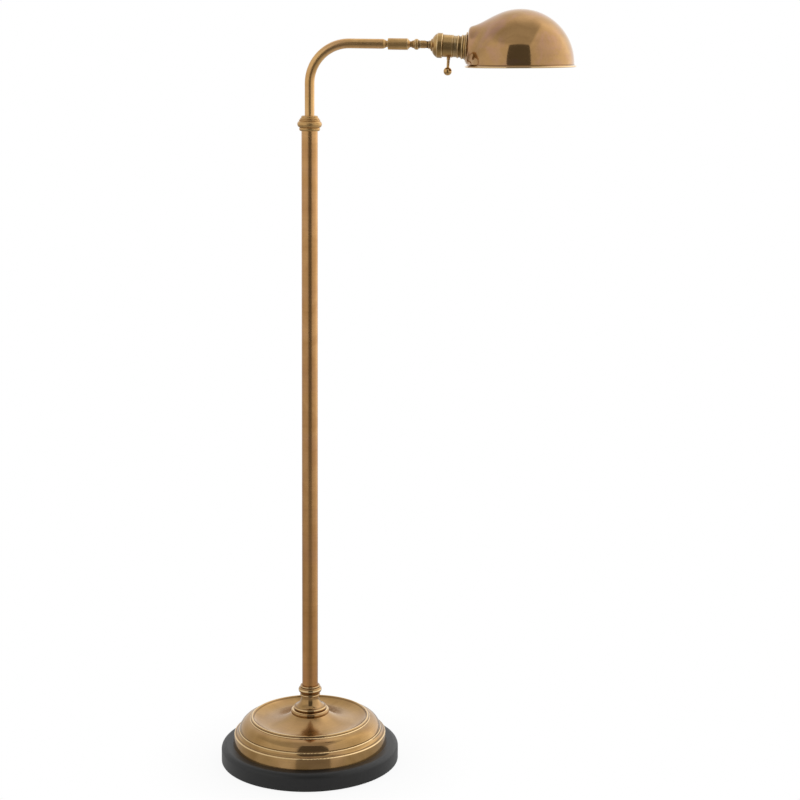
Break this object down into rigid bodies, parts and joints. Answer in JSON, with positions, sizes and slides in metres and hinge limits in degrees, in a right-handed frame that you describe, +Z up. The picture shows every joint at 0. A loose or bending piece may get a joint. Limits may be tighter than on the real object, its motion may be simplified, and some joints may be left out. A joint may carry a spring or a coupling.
{
  "type": "floor lamp",
  "caption": "Brass apothecary floor lamp: stepped round base on a black plinth, telescoping bent arm, swivel head with a domed shade and turn switch.",
  "frame": {"origin": "centre of the felt's underside, on the floor under the pole", "axes": "+Z up along the pole, +X along the arm towards the shade, +Y to the back, where the cord inlet is"},
  "size_m": [0.5553, 0.2898, 1.2157],
  "materials": {
    "felt_green": "pressed felt",
    "plinth_black": "ebonised, satin lacquer",
    "rubber_black": "matt",
    "iron_cast": "as cast",
    "brass_base": "antique burnished",
    "brass_tube": "antique burnished",
    "brass_turned": "antique burnished",
    "brass_socket": "antique burnished",
    "brass_shade": "antique burnished, mottled",
    "brass_plain": "bright",
    "steel_zinc": "zinc plated",
    "nylon_natural": "matt",
    "liner_card": "matt",
    "porcelain": "glazed",
    "bulb_cap_metal": "bright",
    "bulb_frosted": "frosted"
  },
  "bodies": {
    "base": {"felt_pad": "felt_green", "plinth": "plinth_black", "cord_bushing": "rubber_black", "base_weight": "iron_cast", "base_cover": "brass_base", "foot_ring": "brass_base", "pole_foot": "brass_base", "foot_bead": "brass_base", "pole": "brass_tube", "pole_plug": "brass_plain", "tie_rod": "steel_zinc", "rod_washer": "steel_zinc", "rod_nut": "steel_zinc", "collar_ring": "brass_turned", "collar_body": "brass_turned", "friction_bush": "nylon_natural", "collar_nut": "brass_turned"},
    "guide": {"guide_bush": "nylon_natural"},
    "arm": {"arm_tube": "brass_tube", "arm_stop_ring": "brass_plain", "arm_clip": "steel_zinc", "arm_ferrule": "brass_turned", "arm_spindle": "steel_zinc", "thrust_ring": "brass_turned", "spring_washer": "steel_zinc", "spindle_nut": "steel_zinc"},
    "swivel": {"swivel_sleeve": "brass_turned", "swivel_neck": "brass_turned", "knuckle_fork": "brass_turned", "pivot_screw": "brass_turned", "pivot_nut": "brass_turned"},
    "head": {"knuckle_tongue": "brass_turned", "pivot_washers": "nylon_natural", "socket_cap": "brass_socket", "socket_shell": "brass_socket", "shade_tube": "brass_socket", "socket_liner": "liner_card", "socket_body": "porcelain", "terminal_screws": "brass_plain", "screw_shell": "brass_plain", "centre_contact": "brass_plain", "bulb_contact": "brass_plain", "bulb_cap": "bulb_cap_metal", "bulb_glass": "bulb_frosted", "lock_ring": "brass_socket", "shade_holder": "brass_socket", "shade_gasket": "rubber_black", "shade": "brass_shade", "clamp_ring": "brass_socket", "switch_bushing": "brass_turned"},
    "switch": {"switch_stem": "brass_turned", "switch_knob": "brass_turned"}
  },
  "joints": [
    {"name": "height_slide", "type": "slide", "parent": "base", "child": "guide", "axis": [0, 0, 1], "range_m": [-0.04, 0.33]},
    {"name": "arm_turn", "type": "hinge", "parent": "guide", "child": "arm", "pos_m": [0, 0, 0.6284], "axis": [0, 0, 1], "range_deg": [-175, 175]},
    {"name": "sleeve_roll", "type": "hinge", "parent": "arm", "child": "swivel", "pos_m": [0.1365, 0, 1.16], "axis": [1, 0, 0], "range_deg": [-90, 90]},
    {"name": "head_tilt", "type": "hinge", "parent": "swivel", "child": "head", "pos_m": [0.17605, 0, 1.16], "axis": [0, 1, 0], "range_deg": [-45, 50]},
    {"name": "switch_turn", "type": "hinge", "parent": "head", "child": "switch", "pos_m": [0.2153, 0, 1.15794], "axis": [-0.0523, 0, -0.9986], "continuous": true}
  ]
}
